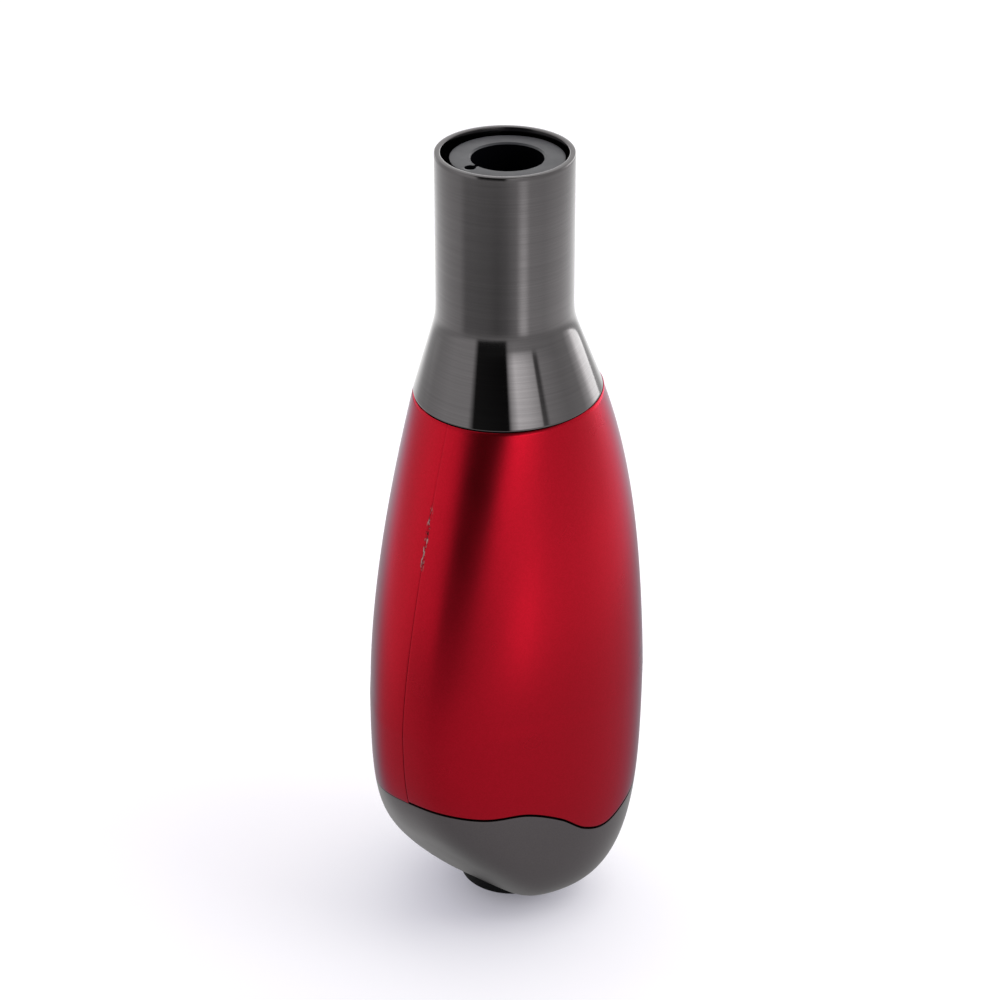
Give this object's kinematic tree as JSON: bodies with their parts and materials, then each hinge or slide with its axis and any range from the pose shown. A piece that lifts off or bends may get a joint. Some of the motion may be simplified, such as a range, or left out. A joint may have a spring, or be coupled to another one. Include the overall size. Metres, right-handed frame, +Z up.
{
  "type": "automatic gear shift knob",
  "caption": "Hand-grip gear knob with an end push button, red shells, gunmetal collar and cap, and a bore that takes the shift lever and its release rod.",
  "frame": {"origin": "middle of the outline on the floor plane, on the flat foot of the button bezel", "axes": "+Z up the lever bore to its mouth, -Y towards the nose of the grip, +X across the grip, square to its middle plane"},
  "size_m": [0.0484, 0.0534, 0.1467],
  "materials": {
    "red_lacquer": "satin metallic red lacquer",
    "brushed_gunmetal": "horizontally brushed gunmetal",
    "satin_gunmetal": "satin gunmetal",
    "black_plastic": "fine satin black",
    "black_rubber": "matt black",
    "core_nylon": "natural moulded nylon",
    "steel": "plain steel",
    "spring_steel": "drawn wire",
    "brass": "turned brass"
  },
  "bodies": {
    "knob": {"collar_sleeve": "brushed_gunmetal", "left_shell": "red_lacquer", "right_shell": "red_lacquer", "shell_dowel_1": "black_plastic", "shell_dowel_2": "black_plastic", "shell_dowel_3": "black_plastic", "shell_dowel_4": "black_plastic", "end_cap": "satin_gunmetal", "cap_seal": "black_rubber", "collar_seal": "black_rubber", "lever_bush": "black_plastic", "mouth_o_ring": "black_rubber", "lower_o_ring": "black_rubber", "bush_roll_pin": "steel", "core_left_half": "core_nylon", "core_right_half": "core_nylon", "core_screw_1": "steel", "core_screw_2": "steel", "core_screw_3": "steel", "core_screw_4": "steel", "grub_screw_1": "steel", "grub_screw_2": "steel", "grub_screw_3": "steel", "button_bezel": "black_plastic", "rod_guide": "brass", "button_spring": "spring_steel", "rod_spring": "spring_steel"},
    "button": {"push_button": "black_plastic", "button_plunger": "core_nylon", "plunger_pin": "steel"},
    "rod": {"release_rod": "steel", "rod_e_clip": "spring_steel", "rod_washer": "steel"}
  },
  "joints": [
    {"name": "button_press", "type": "slide", "parent": "knob", "child": "button", "axis": [0, 0, 1], "range_m": [0, 0.004], "stiffness_N_per_m": 900, "springref_m": -0.004, "deforming": ["button_spring"]},
    {"name": "rod_slide", "type": "slide", "parent": "knob", "child": "rod", "axis": [0, 0, 1], "range_m": [0, 0.004], "stiffness_N_per_m": 600, "springref_m": -0.003, "deforming": ["rod_spring"]}
  ],
  "couplings": [
    {"joint": "rod_slide", "follows": "button_press", "ratio": 1}
  ]
}
